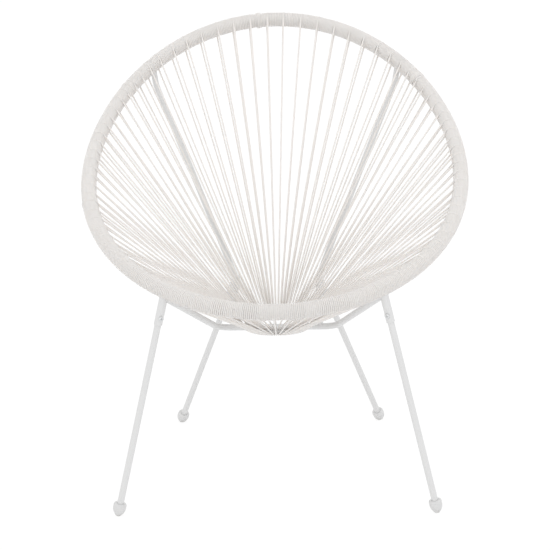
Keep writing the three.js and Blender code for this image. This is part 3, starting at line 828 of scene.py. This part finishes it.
def painted_floor():
    """Matt floor paint with faint mottle. To the eye it is mostly its own white glow, which leaves
    the chair's shadow in the rest."""
    material, tree = new_material("painted studio floor")
    place = add_node(tree, "ShaderNodeTexCoord").outputs["Object"]
    mottle = add_node(tree, "ShaderNodeTexNoise", {"Vector": place, "Scale": FLOOR_MOTTLE})
    tone = add_node(tree, "ShaderNodeMix", {
        "Factor": mottle.outputs["Fac"], MIX_A: colour("#F6F6F6"), MIX_B: colour("#FAFAFA")},
        data_type="RGBA")
    matt = add_node(tree, "ShaderNodeBsdfDiffuse", {"Color": tone.outputs[MIX_RESULT]})
    glow = add_node(tree, "ShaderNodeEmission", {"Color": (1, 1, 1, 1), "Strength": 1.07})
    lit = add_node(tree, "ShaderNodeMixShader", {0: 0.8, 1: matt.outputs[0], 2: glow.outputs[0]})
    surface = white_for_the_eye(tree, matt.outputs[0], lit.outputs[0])
    add_node(tree, "ShaderNodeOutputMaterial", {"Surface": surface.outputs[0]})
    return material


def add_floor(half=20, drop=0.0002):
    """A wide square floor, a hair below the feet."""
    mesh = bpy.data.meshes.new("studio_floor")
    mesh.from_pydata([(-half, -half, 0), (half, -half, 0), (half, half, 0), (-half, half, 0)], [],
                     [(0, 1, 2, 3)])
    mesh.materials.append(painted_floor())
    floor = bpy.data.objects.new("studio_floor", mesh)
    floor.location.z = -drop
    bpy.context.scene.collection.objects.link(floor)


def add_surround():
    """White all round, a little softer as light than it looks."""
    world = bpy.data.worlds.new("white surround")
    bpy.context.scene.world = world
    world.use_nodes = True
    tree = world.node_tree
    tree.nodes.clear()
    soft = add_node(tree, "ShaderNodeBackground", {"Color": (1, 1, 1, 1), "Strength": 0.95})
    bright = add_node(tree, "ShaderNodeBackground", {"Color": (1, 1, 1, 1), "Strength": 1.0})
    seen = white_for_the_eye(tree, soft.outputs[0], bright.outputs[0])
    add_node(tree, "ShaderNodeOutputWorld", {"Surface": seen.outputs[0]})


def soft_panel(name, place, target, wide, tall, power):
    """A rectangular area lamp that looks from its place at the target."""
    lamp = bpy.data.lights.new(name, "AREA")
    lamp.shape = "RECTANGLE"
    lamp.size, lamp.size_y = wide, tall
    lamp.energy = power
    panel = bpy.data.objects.new(name, lamp)
    away = unit(np.array(place) - np.array(target))
    side = unit(np.cross([0.01, 1, 0], away))
    turned = Matrix(np.stack([side, np.cross(away, side), away], axis=1).tolist())
    panel.location = place
    panel.rotation_euler = turned.to_euler()
    bpy.context.scene.collection.objects.link(panel)


add_floor()
add_surround()
soft_panel("overhead panel", place=(0.3, -0.4, 2.9), target=(0, 0, 0.5), wide=2.4, tall=2.4, power=4)
soft_panel("front panel", place=(1.0, -13, 1.6), target=(0, 0, 0.4), wide=10, tall=3, power=150)

# The camera stands where the photograph was taken and looks down by its dip. The focal length is
# in pixels of the photograph
CAMERA_PLACE = (0.05718, -3.44916, 1.17239)
CAMERA_DIP = math.radians(13.073)
CAMERA_YAW = math.radians(0.997)
CAMERA_ROLL = math.radians(-0.96)
PHOTO_WIDTH = 550
FOCAL_PIXELS = 1840.72
SENSOR_WIDTH = 36.0
FARTHEST = 60.0


def add_camera():
    """The camera: its axes are the level and upward directions of its look, turned by the roll."""
    forward = np.array([-math.sin(CAMERA_YAW) * math.cos(CAMERA_DIP),
                        math.cos(CAMERA_YAW) * math.cos(CAMERA_DIP), -math.sin(CAMERA_DIP)])
    level = np.array([math.cos(CAMERA_YAW), math.sin(CAMERA_YAW), 0.0])
    upright = np.cross(level, forward)
    right = math.cos(CAMERA_ROLL) * level + math.sin(CAMERA_ROLL) * upright
    upward = math.cos(CAMERA_ROLL) * upright - math.sin(CAMERA_ROLL) * level
    lens = bpy.data.cameras.new("camera")
    lens.sensor_width = SENSOR_WIDTH
    lens.lens = FOCAL_PIXELS / PHOTO_WIDTH * SENSOR_WIDTH
    lens.clip_end = FARTHEST
    camera = bpy.data.objects.new("camera", lens)
    camera.location = np.array(CAMERA_PLACE) + SHIFT
    camera.rotation_euler = Matrix(np.stack([right, upward, -forward], axis=1).tolist()).to_euler()
    bpy.context.scene.collection.objects.link(camera)
    bpy.context.scene.camera = camera


add_camera()
bpy.context.scene.view_settings.view_transform = "Standard"
